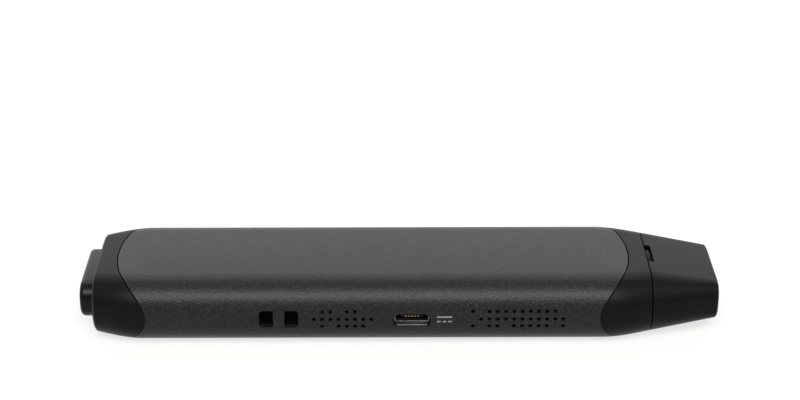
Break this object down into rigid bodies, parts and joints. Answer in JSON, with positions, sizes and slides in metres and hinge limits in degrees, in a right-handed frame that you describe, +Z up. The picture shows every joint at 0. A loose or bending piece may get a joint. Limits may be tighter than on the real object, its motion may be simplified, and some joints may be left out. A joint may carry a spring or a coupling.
{
  "type": "hdmi stick computer",
  "caption": "Stick computer with a pull-off cap over its HDMI plug, USB sockets, an audio jack, a micro-USB power socket, a strap eye, a fan and a push button in its end.",
  "frame": {"origin": "centre of the box around the stick, on the surface that it lies on", "axes": "+X along the stick towards the capped HDMI plug, +Y across it towards the two USB sockets, +Z up"},
  "size_m": [0.1378, 0.034, 0.0149],
  "materials": {
    "sleeve_paint": "matte",
    "black_plastic": "satin",
    "button_plastic": "satin",
    "tray_plastic": "matte",
    "board_green": "satin",
    "plated_steel": "satin",
    "blue_plastic": "satin",
    "gold_contact": "polished",
    "copper": "satin",
    "bare_aluminium": "satin",
    "chip_black": "satin",
    "grey_pad": "matte",
    "ferrite": "matte",
    "white_ceramic": "matte",
    "tan_ceramic": "matte"
  },
  "bodies": {
    "chassis": {"outer_sleeve": "sleeve_paint", "front_collar": "black_plastic", "rear_housing": "black_plastic", "chassis_tray": "tray_plastic", "main_board": "board_green", "usb3_shell": "plated_steel", "usb2_shell": "plated_steel", "usb3_tongue": "blue_plastic", "usb2_tongue": "chip_black", "usb3_contacts": "gold_contact", "usb2_contacts": "gold_contact", "audio_jack": "chip_black", "jack_ring": "plated_steel", "jack_contact": "gold_contact", "power_shell": "plated_steel", "power_tongue": "chip_black", "power_riser": "chip_black", "hdmi_plug_shell": "plated_steel", "hdmi_plug_insert": "chip_black", "hdmi_plug_base": "chip_black", "hdmi_contacts": "gold_contact", "button_switch": "plated_steel", "fan_case": "tray_plastic", "fan_cover": "plated_steel", "fan_bearing": "gold_contact", "fan_stator": "copper", "cooling_fins": "copper", "heat_spreader": "bare_aluminium", "standoffs": "gold_contact", "spreader_screws": "plated_steel", "processor": "chip_black", "thermal_pad": "grey_pad", "storage_chip": "chip_black", "power_chip": "chip_black", "wifi_module": "plated_steel", "memory_chips": "chip_black", "coils": "ferrite", "antennas": "white_ceramic", "capacitors": "tan_ceramic"},
    "cap": {"hdmi_cap": "black_plastic"},
    "button": {"power_button": "button_plastic", "switch_plunger": "chip_black"},
    "rotor": {"fan_impeller": "tray_plastic", "fan_magnet": "ferrite", "fan_shaft": "plated_steel"}
  },
  "joints": [
    {"name": "cap_pull", "type": "slide", "parent": "chassis", "child": "cap", "axis": [1, 0, 0], "range_m": [0, 0.03]},
    {"name": "button_press", "type": "slide", "parent": "chassis", "child": "button", "axis": [1, 0, 0], "range_m": [0, 0.00045], "stiffness_N_per_m": 800, "springref_m": -0.0005},
    {"name": "fan_spin", "type": "hinge", "parent": "chassis", "child": "rotor", "pos_m": [0.0253, 0.0032, 0], "axis": [0, 0, 1], "continuous": true}
  ]
}
